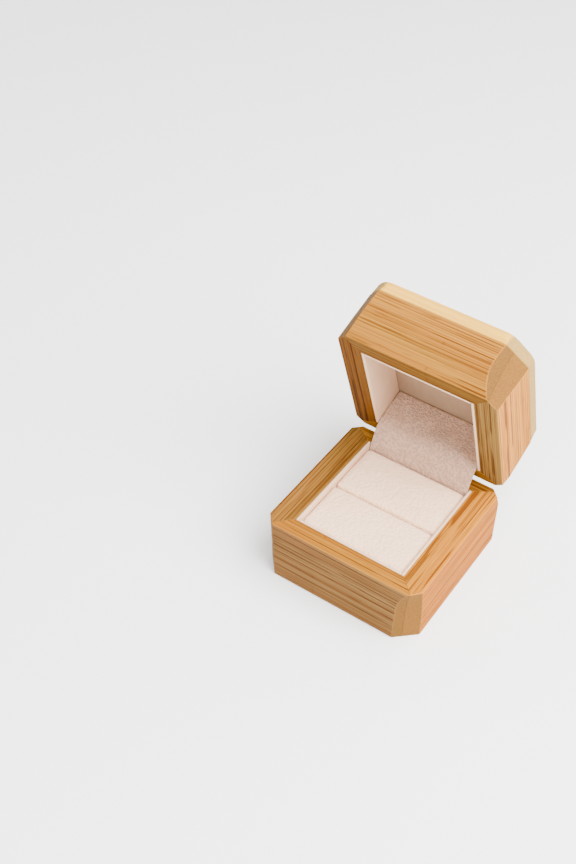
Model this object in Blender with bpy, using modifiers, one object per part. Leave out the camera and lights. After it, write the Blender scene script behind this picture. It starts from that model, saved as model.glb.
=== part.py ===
"""Bamboo ring box, lid open: metres, +Z up, origin at the centre of the underside.

X runs to the right along the hinge, Y runs back towards the hinge, and the front is at -Y.
The lid is modelled closed, under an empty on the hinge axis, and that empty turns it open.
"""
import math

import bmesh
import bpy
from mathutils import Vector

MM = 0.001

# ---- driving dimensions, in millimetres ------------------------------------------------
WIDTH = 58.0                   # outside, left to right
DEPTH = 60.4                   # outside, front to back
BASE_HEIGHT = 23.0
LID_HEIGHT = 24.8
SEAM = 0.3                     # gap between the two rims when the box is shut
OPEN_ANGLE = 68.8              # degrees between shut and the open stop

FRONT_RAIL = 6.3               # rail thicknesses, seen on the rim
SIDE_RAIL = 8.4
REAR_RAIL = 7.8
TOP_PANEL = 4.5
BOTTOM_PANEL = 3.5
GLUE_GAP = 0.1                 # between two pieces of wood glued together

# Corner facets: (distance from the rim, cut across the face, cut along the side).
# The left corners are sanded less than the right ones.
FRONT_FACETS = {
    ("base", 1): [(0.0, 3.4, 3.8), (8.0, 6.8, 5.2), (25.0, 6.8, 6.6)],
    ("base", -1): [(0.0, 3.2, 3.8), (8.0, 3.9, 4.8), (25.0, 5.6, 6.8)],
    ("lid", 1): [(0.0, 3.6, 4.0), (8.0, 7.4, 5.6), (25.0, 7.1, 8.9)],
    ("lid", -1): [(0.0, 3.5, 3.8), (8.0, 3.4, 4.3), (25.0, 4.3, 5.6)],
}
FACET_BEND = 8.0               # distance from the rim where a front facet widens less
REAR_FACET = [(0.0, 3.0, 3.0), (4.6, 3.6, 3.6), (25.0, 5.5, 2.6)]
REAR_BEVEL_DEPTH = 2.6         # the rear edge of each rim is planed back for the hinge
REAR_BEVEL_HEIGHT = 4.6
MITRE_INSET = 2.2              # where a front mitre would meet the front face, from the corner
REAR_MITRE_SHIFT = 1.1         # how far along its facet a rear mitre ends
EDGE_ROUND = 0.4               # sanded edges
PANEL_ROUND = 2.2              # how far each plan corner of the top board is rounded
PANEL_ROUND_STEPS = 3

LINING = 1.0                   # covered card on the walls
LINING_GAP = 0.1
CARD_ROUND = 0.25              # cloth-covered edges of the cards
CUSHION_ROUND = 0.9
CUSHION_TOP = 22.0
CUSHION_BOARD = 1.5
RING_SLIT_Y = -1.3
RING_SLIT = 0.3
CUSHION_REAR_Y = 20.7
LID_POCKET = 14.7              # from the lid's rim to its covered ceiling
CEILING_CARD = 1.5
FLAP = 0.6                     # leatherette flap over the hinge
FLAP_GAP = 0.2                 # between the cushion and the flap's tail
FLAP_TAIL_LOW = 9.0            # the tail's lower end, behind the cushion
FLAP_BEND = [(0.0, 21.2), (0.35, 23.2), (3.4, 28.7), (4.3, 30.1)]  # behind the tail, height
FLAP_HANG = [(21.7, -0.2), (21.3, -7.0)]  # y, and height above the lid's ceiling, lid shut
FLAP_HANG_FOOT = (20.9, 0.5)   # y, and height above the lid's rim

AXIS_Y = DEPTH / 2 - 1.8       # hinge pin
AXIS_Z = BASE_HEIGHT + SEAM / 2
PIN_RADIUS = 0.5
PIN_LENGTH = 24.6
PIN_CROWN = [(0.0, 0.0), (0.35, 0.05), (PIN_RADIUS, 0.25)]  # radius, depth from the pin's end
BORE_RADIUS = 0.58
KNUCKLE_RADIUS = 1.1
HINGE_WIDTH = 24.0
MIDDLE_KNUCKLE = 7.8
KNUCKLE_GAP = 0.3
SHEET = 0.6                    # hinge leaf thickness
LEAF_DROP = 11.5               # from the pin down the wall
LEAF_RECESS = 0.8              # pocket in the rear rail for the leaf
RECESS_CLEAR = 0.4
SCREW_X = 8.0
SCREW_DROP = 7.5
SCREW_RADIUS = 0.7
SCREW_HEAD_RADIUS = 1.4
SCREW_LENGTH = 5.5
SCREW_TIP = 0.9
SCREW_SLACK = 0.08             # between a screw and its hole
SLOT_LENGTH = 3.2
SLOT_WIDTH = 0.36
SLOT_DEPTH = 0.3
SPRING_WIDTH = 5.2
SPRING_SHEET = 0.3
SPRING_LIFT = 0.1              # above the base leaf's rim plate
SPRING_INSET = 0.3             # behind the leaf's front face
RIVET_RADIUS = 0.5
RIVET_INSET = 1.6
RIVET_HEAD = [(0.0, 0.35), (0.55, 0.3), (0.95, 0.0)]  # radius, height
RIVET_SHANK = 0.95

HALF_W = WIDTH / 2
HALF_D = DEPTH / 2
INNER_X = HALF_W - SIDE_RAIL
INNER_FRONT = -HALF_D + FRONT_RAIL
INNER_REAR = HALF_D - REAR_RAIL
LID_RIM_Z = BASE_HEIGHT + SEAM
LID_TOP_Z = LID_RIM_Z + LID_HEIGHT
LID_RAIL_TOP_Z = LID_TOP_Z - TOP_PANEL
CEILING_Z = LID_RIM_Z + LID_POCKET
LEAF_FRONT = INNER_REAR + LINING_GAP
ROUND_STEPS = 20
OVERCUT = 1.0                  # how far a cutter runs past the piece that it cuts


# ---- scene, collections and materials --------------------------------------------------
def clear_scene():
    for obj in list(bpy.data.objects):
        bpy.data.objects.remove(obj, do_unlink=True)
    for collection in list(bpy.data.collections):
        bpy.data.collections.remove(collection)


def new_collection(name):
    collection = bpy.data.collections.new(name)
    bpy.context.scene.collection.children.link(collection)
    return collection


def new_material(name, colour, roughness, metallic=0.0):
    material = bpy.data.materials.new(name)
    material.use_nodes = True
    shader = material.node_tree.nodes["Principled BSDF"]
    shader.inputs["Base Color"].default_value = (*colour, 1.0)
    shader.inputs["Roughness"].default_value = roughness
    shader.inputs["Metallic"].default_value = metallic
    return material


clear_scene()
PARTS = new_collection("ring_box")
CUTTERS = new_collection("cutters")

RAIL_WOOD = new_material("bamboo_rail", (0.56, 0.31, 0.12), 0.45)
PANEL_WOOD = new_material("bamboo_panel", (0.72, 0.47, 0.24), 0.45)
LINING_CARD = new_material("lining", (0.80, 0.73, 0.66), 0.85)
CUSHION_SUEDE = new_material("cushion_suede", (0.82, 0.76, 0.70), 0.95)
FLAP_SUEDE = new_material("flap_leatherette", (0.58, 0.45, 0.36), 0.8)
GREY_BOARD = new_material("grey_board", (0.45, 0.42, 0.38), 0.9)
FOAM = new_material("foam", (0.78, 0.76, 0.70), 0.95)
HINGE_STEEL = new_material("hinge_steel", (0.62, 0.60, 0.56), 0.35, 1.0)
SPRING_STEEL = new_material("spring_steel", (0.42, 0.43, 0.45), 0.3, 1.0)
SCREW_BRASS = new_material("screw_brass", (0.70, 0.52, 0.24), 0.35, 1.0)


# ---- objects ---------------------------------------------------------------------------
def add_mesh(name, bm, material, parent=None, location=(0, 0, 0), collection=PARTS):
    """Turn a bmesh in millimetres into an object in metres."""
    bmesh.ops.scale(bm, vec=(MM, MM, MM), verts=bm.verts)
    mesh = bpy.data.meshes.new(name)
    bm.to_mesh(mesh)
    bm.free()
    if material:
        mesh.materials.append(material)
    obj = bpy.data.objects.new(name, mesh)
    obj.location = Vector(location) * MM
    collection.objects.link(obj)
    if parent:
        obj.parent = parent
        obj.location = obj.location - Vector(parent.location)
    return obj


def box_mesh(low, high):
    """A bmesh box about its own centre, and that centre."""
    size = Vector(high) - Vector(low)
    bm = bmesh.new()
    bmesh.ops.create_cube(bm, size=1.0)
    bmesh.ops.scale(bm, vec=size, verts=bm.verts)
    return bm, (Vector(low) + Vector(high)) / 2


def add_box(name, low, high, material, parent=None, rounding=0.0, segments=2):
    bm, centre = box_mesh(low, high)
    obj = add_mesh(name, bm, material, parent, centre)
    if rounding:
        bevel = obj.modifiers.new("rounded edges", "BEVEL")
        bevel.width = rounding * MM
        bevel.segments = segments
    return obj


def make_cutter(obj):
    for collection in list(obj.users_collection):
        collection.objects.unlink(obj)
    CUTTERS.objects.link(obj)
    obj.hide_render = True
    obj.display_type = "WIRE"
    return obj


def cutter_box(name, low, high, parent=None):
    bm, centre = box_mesh(low, high)
    return make_cutter(add_mesh(name, bm, None, parent, centre))


def cylinder(name, radius, start, end, parent=None, end_radius=None):
    """A guide cylinder or cone from one point to another."""
    run = Vector(end) - Vector(start)
    bm = bmesh.new()
    bmesh.ops.create_cone(
        bm, cap_ends=True, segments=ROUND_STEPS, depth=run.length,
        radius1=radius, radius2=radius if end_radius is None else end_radius)
    turn = run.to_track_quat("Z", "Y").to_matrix()
    bmesh.ops.rotate(bm, cent=(0, 0, 0), matrix=turn, verts=bm.verts)
    middle = (Vector(start) + Vector(end)) / 2
    return make_cutter(add_mesh(name, bm, None, parent, middle))


def boolean(obj, operand, operation="DIFFERENCE"):
    modifier = obj.modifiers.new(operation.lower() + " " + operand.name, "BOOLEAN")
    modifier.operation = operation
    modifier.solver = "EXACT"
    modifier.object = operand


def turned(name, profile, material, parent=None, location=(0, 0, 0), tilt=0.0):
    """A turned piece: the profile's (radius, height) points run from the top down."""
    bm = bmesh.new()
    points = [bm.verts.new((radius, 0.0, height)) for radius, height in profile]
    for first, second in zip(points, points[1:]):
        bm.edges.new((first, second))
    obj = add_mesh(name, bm, material, parent, location)
    obj.rotation_euler.x = tilt
    screw = obj.modifiers.new("turned", "SCREW")
    screw.axis = "Z"
    screw.steps = ROUND_STEPS
    screw.render_steps = ROUND_STEPS
    screw.use_merge_vertices = True
    screw.merge_threshold = 0.000001
    screw.use_smooth_shade = True
    return obj


# ---- plan outline of the box -----------------------------------------------------------
def interpolate(table, height):
    """The two cuts of a facet table at a distance from the rim."""
    for (low, *start), (high, *end) in zip(table, table[1:]):
        if height <= high:
            share = (height - low) / (high - low)
            return [a + (b - a) * share for a, b in zip(start, end)]
    return table[-1][1:]


def rear_face(height):
    planed = max(0.0, 1.0 - height / REAR_BEVEL_HEIGHT)
    return HALF_D - REAR_BEVEL_DEPTH * planed


def corner_points(half, height, side, rear):
    """A corner facet's end on the front or rear face, and its end on the side face."""
    across, along = interpolate(REAR_FACET if rear else FRONT_FACETS[half, side], height)
    face_y = rear_face(height) if rear else -HALF_D
    inward = -1.0 if rear else 1.0
    on_face = Vector((side * (HALF_W - across), face_y))
    on_side = Vector((side * HALF_W, face_y + inward * along))
    return on_face, on_side


def crossing(point_a, along_a, point_b, along_b):
    """Where two lines in the plan cross."""
    across = along_a.x * along_b.y - along_a.y * along_b.x
    gap = point_b - point_a
    share = (gap.x * along_b.y - gap.y * along_b.x) / across
    return point_a + along_a * share


def mitre_line(side, rear, towards_side):
    """A point and a direction on a rail's own face of the mitre at one corner."""
    inner = Vector((side * INNER_X, INNER_REAR if rear else INNER_FRONT))
    if rear:
        outer = Vector((side * (HALF_W - REAR_FACET[0][1] + REAR_MITRE_SHIFT),
                        HALF_D - REAR_BEVEL_DEPTH - REAR_MITRE_SHIFT))
    else:
        outer = Vector((side * (HALF_W - MITRE_INSET), -HALF_D))
    along = (outer - inner).normalized()
    normal = Vector((along.y, -along.x))
    if normal.x * side < 0:
        normal = -normal
    shift = GLUE_GAP / 2 if towards_side else -GLUE_GAP / 2
    return inner + normal * shift, along


def rail_section(half, rail, height):
    """A rail's plan at one level: inner edge first, then round its outer faces."""
    if rail in ("front", "rear"):
        rear = rail == "rear"
        inner_y = INNER_REAR if rear else INNER_FRONT
        section = []
        for side in (-1, 1):
            start, along = mitre_line(side, rear, False)
            on_face, on_side = corner_points(half, height, side, rear)
            inner = crossing(start, along, Vector((0, inner_y)), Vector((1, 0)))
            seam = crossing(start, along, on_face, on_side - on_face)
            section.append([inner, seam, on_face])
        left, right = section
        return [left[0], right[0], right[1], right[2], left[2], left[1]]
    side = 1 if rail == "right" else -1
    section = []
    for rear in (False, True):
        start, along = mitre_line(side, rear, True)
        on_face, on_side = corner_points(half, height, side, rear)
        inner = crossing(start, along, Vector((side * INNER_X, 0)), Vector((0, 1)))
        seam = crossing(start, along, on_face, on_side - on_face)
        section.append([inner, seam, on_side])
    front, back = section
    return [front[0], back[0], back[1], back[2], front[2], front[1]]


def add_rail(half, rail, rim_z, outer_z, parent=None):
    """Loft a mitred rail from its rim to its outer edge, then sand its long edges."""
    height = abs(outer_z - rim_z)
    levels = [0.0, REAR_BEVEL_HEIGHT, FACET_BEND, height]
    up = 1.0 if outer_z > rim_z else -1.0
    bm = bmesh.new()
    weight = bm.edges.layers.float.new("bevel_weight_edge")
    rings = []
    for level in levels:
        section = rail_section(half, rail, level)
        rings.append([bm.verts.new((p.x, p.y, rim_z + up * level)) for p in section])
    bm.faces.new(rings[0])
    bm.faces.new(rings[-1])
    for lower, upper in zip(rings, rings[1:]):
        for i in range(len(lower)):
            j = (i + 1) % len(lower)
            bm.faces.new((lower[i], lower[j], upper[j], upper[i]))
    bmesh.ops.recalc_face_normals(bm, faces=bm.faces)
    sanded = [(rings[0], 0), (rings[0], 2), (rings[0], 3), (rings[0], 4), (rings[-1], 3)]
    for ring, i in sanded:
        edge = bm.edges.get((ring[i], ring[(i + 1) % len(ring)]))
        edge[weight] = 1.0
    centre = Vector((0, 0, (rim_z + outer_z) / 2))
    bmesh.ops.translate(bm, vec=-centre, verts=bm.verts)
    obj = add_mesh(f"{half}_rail_{rail}", bm, RAIL_WOOD, parent, centre)
    bevel = obj.modifiers.new("sanded edges", "BEVEL")
    bevel.width = EDGE_ROUND * MM
    bevel.segments = 2
    bevel.limit_method = "WEIGHT"
    return obj


def outline_panel(name, low_z, high_z, material, parent):
    """The lid's top board: the whole outline, its corners rounded and its top edge eased."""
    height = high_z - LID_RIM_Z
    corners = []
    for side, rear in ((-1, False), (1, False), (1, True), (-1, True)):
        on_face, on_side = corner_points("lid", height, side, rear)
        ordered = [on_side, on_face] if (side < 0) != rear else [on_face, on_side]
        corners.extend(ordered)
    outline = []
    for i, corner in enumerate(corners):
        before = (corners[i - 1] - corner).normalized() * PANEL_ROUND
        after = (corners[(i + 1) % len(corners)] - corner).normalized() * PANEL_ROUND
        for step in range(PANEL_ROUND_STEPS + 1):
            share = step / PANEL_ROUND_STEPS
            outline.append(corner + before * (1 - share) ** 2 + after * share ** 2)
    bm = bmesh.new()
    bottom = bm.faces.new([bm.verts.new((p.x, p.y, 0.0)) for p in outline])
    raised = bmesh.ops.extrude_face_region(bm, geom=[bottom])
    top = [item for item in raised["geom"] if isinstance(item, bmesh.types.BMVert)]
    bmesh.ops.translate(bm, vec=(0, 0, high_z - low_z), verts=top)
    bmesh.ops.recalc_face_normals(bm, faces=bm.faces)
    obj = add_mesh(name, bm, material, parent, (0, 0, low_z))
    bevel = obj.modifiers.new("eased edge", "BEVEL")
    bevel.width = EDGE_ROUND * MM
    bevel.segments = 2
    bevel.limit_method = "ANGLE"
    bevel.angle_limit = math.radians(50)
    return obj


def add_strip(name, profile, material, parent=None):
    """A sheet of even thickness: the profile's (y, z) centre line, run across the opening."""
    half = INNER_X - LINING_GAP - LINING - LINING_GAP
    bm = bmesh.new()
    left = [bm.verts.new((-half, y, z)) for y, z in profile]
    right = [bm.verts.new((half, y, z)) for y, z in profile]
    for i in range(len(profile) - 1):
        bm.faces.new((left[i], right[i], right[i + 1], left[i + 1]))
    obj = add_mesh(name, bm, material, parent)
    solid = obj.modifiers.new("thickness", "SOLIDIFY")
    solid.thickness = FLAP * MM
    solid.offset = 0.0
    solid.use_even_offset = True
    return obj


# ---- the base --------------------------------------------------------------------------
def wall_linings(prefix, low_z, high_z, parent=None):
    """Covered card on the left, right and front walls of one half."""
    near = INNER_FRONT + LINING_GAP
    far = INNER_REAR - LINING_GAP
    outer = INNER_X - LINING_GAP
    for word, side in (("left", -1), ("right", 1)):
        edges = sorted((side * outer, side * (outer - LINING)))
        add_box(prefix + "_lining_" + word, (edges[0], near, low_z),
                (edges[1], far, high_z), LINING_CARD, parent, CARD_ROUND)
    span = outer - LINING - LINING_GAP
    add_box(prefix + "_lining_front", (-span, near, low_z),
            (span, near + LINING, high_z), LINING_CARD, parent, CARD_ROUND)


def build_base():
    rails = {}
    for rail in ("front", "rear", "left", "right"):
        rails[rail] = add_rail("base", rail, BASE_HEIGHT, 0.0)
    clear = GLUE_GAP
    add_box("base_bottom_panel", (-INNER_X + clear, INNER_FRONT + clear, 0.0),
            (INNER_X - clear, INNER_REAR - clear, BOTTOM_PANEL), PANEL_WOOD)
    floor = BOTTOM_PANEL + LINING_GAP
    wall_linings("base", floor, BASE_HEIGHT)
    half = INNER_X - LINING_GAP - LINING - 2 * LINING_GAP
    front = INNER_FRONT + LINING_GAP + LINING + LINING_GAP
    board_top = floor + CUSHION_BOARD
    add_box("cushion_board", (-half, front, floor),
            (half, CUSHION_REAR_Y, board_top), GREY_BOARD)
    foam_low = board_top + LINING_GAP
    slit = (RING_SLIT_Y - RING_SLIT / 2, RING_SLIT_Y + RING_SLIT / 2)
    add_box("ring_cushion_front", (-half, front, foam_low),
            (half, slit[0], CUSHION_TOP), CUSHION_SUEDE, None, CUSHION_ROUND, 3)
    add_box("ring_cushion_rear", (-half, slit[1], foam_low),
            (half, CUSHION_REAR_Y, CUSHION_TOP), CUSHION_SUEDE, None, CUSHION_ROUND, 3)
    tail_y = CUSHION_REAR_Y + FLAP_GAP + FLAP / 2
    flap = [(tail_y, FLAP_TAIL_LOW)] + [(tail_y + back, height) for back, height in FLAP_BEND]
    add_strip("flap_lower", flap, FLAP_SUEDE)
    return rails["rear"]


# ---- the lid ---------------------------------------------------------------------------
def build_lid(pivot):
    rails = {}
    rail_top = LID_RAIL_TOP_Z - GLUE_GAP
    for rail in ("front", "rear", "left", "right"):
        rails[rail] = add_rail("lid", rail, LID_RIM_Z, rail_top, pivot)
    outline_panel("lid_top_panel", LID_RAIL_TOP_Z, LID_TOP_Z, PANEL_WOOD, pivot)
    wall_linings("lid", LID_RIM_Z, CEILING_Z - LINING_GAP, pivot)
    clear = LINING_GAP
    low = (-INNER_X + clear, INNER_FRONT + clear, CEILING_Z)
    high = (INNER_X - clear, INNER_REAR - clear, CEILING_Z + CEILING_CARD)
    add_box("lid_ceiling_card", low, high, LINING_CARD, pivot, CARD_ROUND)
    foam_low = CEILING_Z + CEILING_CARD + clear
    add_box("lid_ceiling_foam", (low[0], low[1], foam_low),
            (high[0], high[1], LID_RAIL_TOP_Z - clear), FOAM, pivot)
    hang = [(y, CEILING_Z + height) for y, height in FLAP_HANG]
    hang.append((FLAP_HANG_FOOT[0], LID_RIM_Z + FLAP_HANG_FOOT[1]))
    from_pin = [(y - AXIS_Y, z - AXIS_Z) for y, z in hang]
    strip = add_strip("flap_upper", from_pin, FLAP_SUEDE)
    strip.parent = pivot
    return rails["rear"]


# ---- the hinge -------------------------------------------------------------------------
def hinge_leaf(name, up, parent=None):
    """One bent leaf: down (or up) the wall, back across the rim, and round the pin."""
    wall = AXIS_Z + up * LEAF_DROP
    rim_out = AXIS_Z + up * KNUCKLE_RADIUS
    rim_in = AXIS_Z + up * (KNUCKLE_RADIUS - SHEET)
    profile = [(LEAF_FRONT, wall), (LEAF_FRONT + SHEET, wall),
               (LEAF_FRONT + SHEET, rim_out), (AXIS_Y, rim_out), (AXIS_Y, rim_in),
               (LEAF_FRONT, rim_in)]
    half = HINGE_WIDTH / 2
    bm = bmesh.new()
    side = bm.faces.new([bm.verts.new((-half, y - AXIS_Y, z - AXIS_Z)) for y, z in profile])
    pulled = bmesh.ops.extrude_face_region(bm, geom=[side])
    moved = [item for item in pulled["geom"] if isinstance(item, bmesh.types.BMVert)]
    bmesh.ops.translate(bm, vec=(HINGE_WIDTH, 0, 0), verts=moved)
    bmesh.ops.recalc_face_normals(bm, faces=bm.faces)
    leaf = add_mesh(name, bm, HINGE_STEEL, parent, (0, AXIS_Y, AXIS_Z))
    middle = MIDDLE_KNUCKLE / 2
    if up < 0:
        knuckles = [(-half, -middle - KNUCKLE_GAP), (middle + KNUCKLE_GAP, half)]
        reliefs = [(-middle - KNUCKLE_GAP, middle + KNUCKLE_GAP)]
    else:
        knuckles = [(-middle, middle)]
        reliefs = [(-half - OVERCUT, -middle), (middle, half + OVERCUT)]
    near = AXIS_Y - KNUCKLE_RADIUS - KNUCKLE_GAP
    for i, (low, high) in enumerate(reliefs):
        reach = KNUCKLE_RADIUS + OVERCUT
        cut = cutter_box(f"{name}_relief_{i}", (low, near, AXIS_Z - reach),
                         (high, AXIS_Y + reach, AXIS_Z + reach), parent)
        boolean(leaf, cut)
    for i, (low, high) in enumerate(knuckles):
        barrel = cylinder(f"{name}_barrel_{i}", KNUCKLE_RADIUS,
                          (low, AXIS_Y, AXIS_Z), (high, AXIS_Y, AXIS_Z), parent)
        boolean(leaf, barrel, "UNION")
    bore = cylinder(name + "_bore", BORE_RADIUS, (-half - OVERCUT, AXIS_Y, AXIS_Z),
                    (half + OVERCUT, AXIS_Y, AXIS_Z), parent)
    boolean(leaf, bore)
    return leaf


def leaf_screws(prefix, leaf, rail, up, parent=None):
    """Two countersunk screws through a leaf into its rail, with their holes."""
    z = AXIS_Z + up * SCREW_DROP
    head = SCREW_HEAD_RADIUS - SCREW_RADIUS
    sink_over = OVERCUT / 2
    for word, x in (("left", -SCREW_X), ("right", SCREW_X)):
        start = (x, LEAF_FRONT, z)
        sink = cylinder(f"{prefix}_sink_{word}", SCREW_HEAD_RADIUS + SCREW_SLACK + sink_over,
                        (x, LEAF_FRONT - sink_over, z), (x, LEAF_FRONT + head, z), parent,
                        SCREW_RADIUS + SCREW_SLACK)
        hole = cylinder(f"{prefix}_hole_{word}", SCREW_RADIUS + SCREW_SLACK, start,
                        (x, LEAF_FRONT + SCREW_LENGTH + RECESS_CLEAR, z), parent)
        boolean(leaf, sink)
        boolean(leaf, hole)
        boolean(rail, hole)
        profile = [(0.0, 0.0), (SCREW_HEAD_RADIUS, 0.0), (SCREW_RADIUS, -head),
                   (SCREW_RADIUS, -SCREW_LENGTH + SCREW_TIP), (0.0, -SCREW_LENGTH)]
        screw = turned(f"{prefix}_screw_{word}", profile, SCREW_BRASS, parent,
                       start, math.radians(90))
        slot = cutter_box(
            f"{prefix}_slot_{word}",
            (x - SLOT_LENGTH / 2, LEAF_FRONT - sink_over, z - SLOT_WIDTH / 2),
            (x + SLOT_LENGTH / 2, LEAF_FRONT + SLOT_DEPTH, z + SLOT_WIDTH / 2), parent)
        boolean(screw, slot)


def rail_recess(name, rail, up, parent=None):
    """The pocket for a leaf in the rear rail's wall, and its way back across the rim."""
    half = HINGE_WIDTH / 2 + RECESS_CLEAR
    outside = AXIS_Z - up * OVERCUT
    floor = AXIS_Z + up * (LEAF_DROP + RECESS_CLEAR)
    step = AXIS_Z + up * (KNUCKLE_RADIUS + SEAM / 2)
    low, high = sorted((outside, floor))
    wall = cutter_box(name + "_wall", (-half, INNER_REAR - OVERCUT, low),
                      (half, INNER_REAR + LEAF_RECESS, high), parent)
    low, high = sorted((outside, step))
    wider = half + RECESS_CLEAR
    across = cutter_box(name + "_rim", (-wider, INNER_REAR - OVERCUT - KNUCKLE_GAP, low),
                        (wider, HALF_D + OVERCUT, high), parent)
    boolean(rail, wall)
    boolean(rail, across)


def snap_spring(leaf):
    """A flat over-centre spring riveted to the base leaf, its end under the middle knuckle."""
    plate_top = AXIS_Z - KNUCKLE_RADIUS + SHEET
    low = plate_top + SPRING_LIFT
    rivet_y = LEAF_FRONT + RIVET_INSET
    reach = AXIS_Y - KNUCKLE_RADIUS - SPRING_SHEET
    spring = add_box("hinge_snap_spring", (-SPRING_WIDTH / 2, LEAF_FRONT + SPRING_INSET, low),
                     (SPRING_WIDTH / 2, reach, low + SPRING_SHEET), SPRING_STEEL)
    drill = RIVET_SHANK + OVERCUT
    hole = cylinder("rivet_hole", RIVET_RADIUS + SCREW_SLACK, (0, rivet_y, plate_top - drill),
                    (0, rivet_y, plate_top + drill))
    boolean(spring, hole)
    boolean(leaf, hole)
    top = low + SPRING_SHEET + SCREW_SLACK
    profile = RIVET_HEAD + [(RIVET_RADIUS, 0.0), (RIVET_RADIUS, -RIVET_SHANK),
                            (0.0, -RIVET_SHANK)]
    turned("hinge_spring_rivet", profile, SPRING_STEEL, None, (0, rivet_y, top))


def build_hinge(base_rail, lid_rail, pivot):
    base_leaf = hinge_leaf("hinge_base_leaf", -1)
    lid_leaf = hinge_leaf("hinge_lid_leaf", 1, pivot)
    rail_recess("base_recess", base_rail, -1)
    rail_recess("lid_recess", lid_rail, 1, pivot)
    leaf_screws("base_hinge", base_leaf, base_rail, -1)
    leaf_screws("lid_hinge", lid_leaf, lid_rail, 1, pivot)
    snap_spring(base_leaf)
    half = PIN_LENGTH / 2
    profile = [(radius, half - depth) for radius, depth in PIN_CROWN]
    profile += [(radius, depth - half) for radius, depth in reversed(PIN_CROWN)]
    pin = turned("hinge_pin", profile, HINGE_STEEL, None, (0, AXIS_Y, AXIS_Z))
    pin.rotation_euler.y = math.radians(90)


def build():
    pivot = bpy.data.objects.new("lid_pivot", None)
    pivot.empty_display_size = 10 * MM
    pivot.location = Vector((0, AXIS_Y, AXIS_Z)) * MM
    PARTS.objects.link(pivot)
    base_rail = build_base()
    lid_rail = build_lid(pivot)
    build_hinge(base_rail, lid_rail, pivot)
    pivot.rotation_euler.x = -math.radians(OPEN_ANGLE)


build()
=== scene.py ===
"""Looks of the open bamboo ring box: finer wood, linings, cushion, flap, hinge and studio."""

import math
from collections import namedtuple

import bmesh
import bpy
from mathutils import Matrix, Vector


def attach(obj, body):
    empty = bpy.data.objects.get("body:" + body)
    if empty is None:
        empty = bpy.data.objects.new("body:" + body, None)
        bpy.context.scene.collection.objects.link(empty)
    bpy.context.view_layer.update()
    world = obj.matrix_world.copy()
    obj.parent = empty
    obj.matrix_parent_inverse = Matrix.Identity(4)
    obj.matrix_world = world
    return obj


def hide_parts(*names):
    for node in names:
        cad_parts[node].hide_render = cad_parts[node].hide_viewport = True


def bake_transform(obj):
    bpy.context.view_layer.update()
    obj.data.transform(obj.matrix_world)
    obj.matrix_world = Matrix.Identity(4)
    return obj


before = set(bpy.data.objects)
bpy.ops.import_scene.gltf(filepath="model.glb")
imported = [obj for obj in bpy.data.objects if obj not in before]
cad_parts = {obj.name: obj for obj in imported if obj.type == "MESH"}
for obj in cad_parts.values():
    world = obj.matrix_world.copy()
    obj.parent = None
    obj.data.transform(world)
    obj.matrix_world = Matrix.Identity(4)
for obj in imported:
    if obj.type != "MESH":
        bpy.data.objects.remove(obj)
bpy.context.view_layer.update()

MM = 0.001

# ---- the box's own measures, in millimetres ----------------------------------------------
WIDTH = 58.0
DEPTH = 60.4
BASE_HEIGHT = 23.0
LID_HEIGHT = 24.8
SEAM = 0.3
OPEN_ANGLE = 68.8
FRONT_RAIL = 6.3
SIDE_RAIL = 8.4
REAR_RAIL = 7.8
TOP_PANEL = 4.5
GLUE_GAP = 0.06
LINING = 1.0
LINING_GAP = 0.1
CUSHION_TOP = 22.0
CUSHION_FOAM_LOW = 5.3
RING_SLIT_Y = -1.3
RING_SLIT = 0.5
CUSHION_REAR_Y = 20.7
LID_POCKET = 14.7
REAR_BEVEL_DEPTH = 2.6
REAR_BEVEL_HEIGHT = 4.6
FRONT_MITRE_INSET = 2.2
REAR_MITRE_SHIFT = 1.1
HINGE_POCKET_HALF = 12.4
HINGE_POCKET_DROP = 11.9
HINGE_POCKET_DEPTH = 0.8
HINGE_AXIS_INSET = 1.8
KNUCKLE_NOTCH_DROP = 1.25
KNUCKLE_NOTCH_GROW = 0.4
BASE_LINING_LOW = 3.6
CEILING_CARD = 1.5
CUSHION_GAP = 0.12
CUSHION_FRONT_GAP = 0.1
FLAP_GAP = 0.3
FLAP_THICKNESS = 0.45

# Corner facets: (distance from the rim, cut across the front or rear face, cut along the side).
# The left corners are sanded less than the right ones.
FRONT_FACETS = {
    ("base", 1): [(0, 3.3, 3.8), (2.5, 4.9, 4.2), (5.4, 6.2, 4.7), (8, 6.8, 5.2),
                  (15, 6.9, 6.0), (25, 6.8, 6.6)],
    ("base", -1): [(0, 3.2, 3.8), (8, 3.9, 4.8), (15, 4.6, 5.8), (25, 5.6, 6.8)],
    ("lid", 1): [(0, 3.6, 4.0), (2.5, 5.0, 4.4), (5.4, 6.5, 5.0), (9.2, 7.8, 5.9),
                 (13, 8.3, 7.2), (17.6, 7.9, 8.2), (25, 7.1, 8.9)],
    ("lid", -1): [(0, 3.5, 3.8), (9.2, 3.4, 4.3), (17.6, 3.8, 5.0), (25, 4.3, 5.6)],
}
REAR_FACET = [(0, 3.0, 3.0), (2.3, 3.3, 3.3), (4.6, 3.8, 3.5), (9, 4.6, 3.2), (25, 5.4, 2.8)]

HALF_W = WIDTH / 2
HALF_D = DEPTH / 2
INNER_X = HALF_W - SIDE_RAIL
INNER_FRONT = -HALF_D + FRONT_RAIL
INNER_REAR = HALF_D - REAR_RAIL
LID_RIM_Z = BASE_HEIGHT + SEAM
LID_TOP_Z = LID_RIM_Z + LID_HEIGHT
LID_RAIL_TOP_Z = LID_TOP_Z - TOP_PANEL
CEILING_Z = LID_RIM_Z + LID_POCKET
AXIS_Y = HALF_D - HINGE_AXIS_INSET
AXIS_Z = BASE_HEIGHT + SEAM / 2
OPENED = (Matrix.Translation(Vector((0, AXIS_Y, AXIS_Z)) * MM)
          @ Matrix.Rotation(-math.radians(OPEN_ANGLE), 4, "X")
          @ Matrix.Translation(Vector((0, -AXIS_Y, -AXIS_Z)) * MM))


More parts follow.
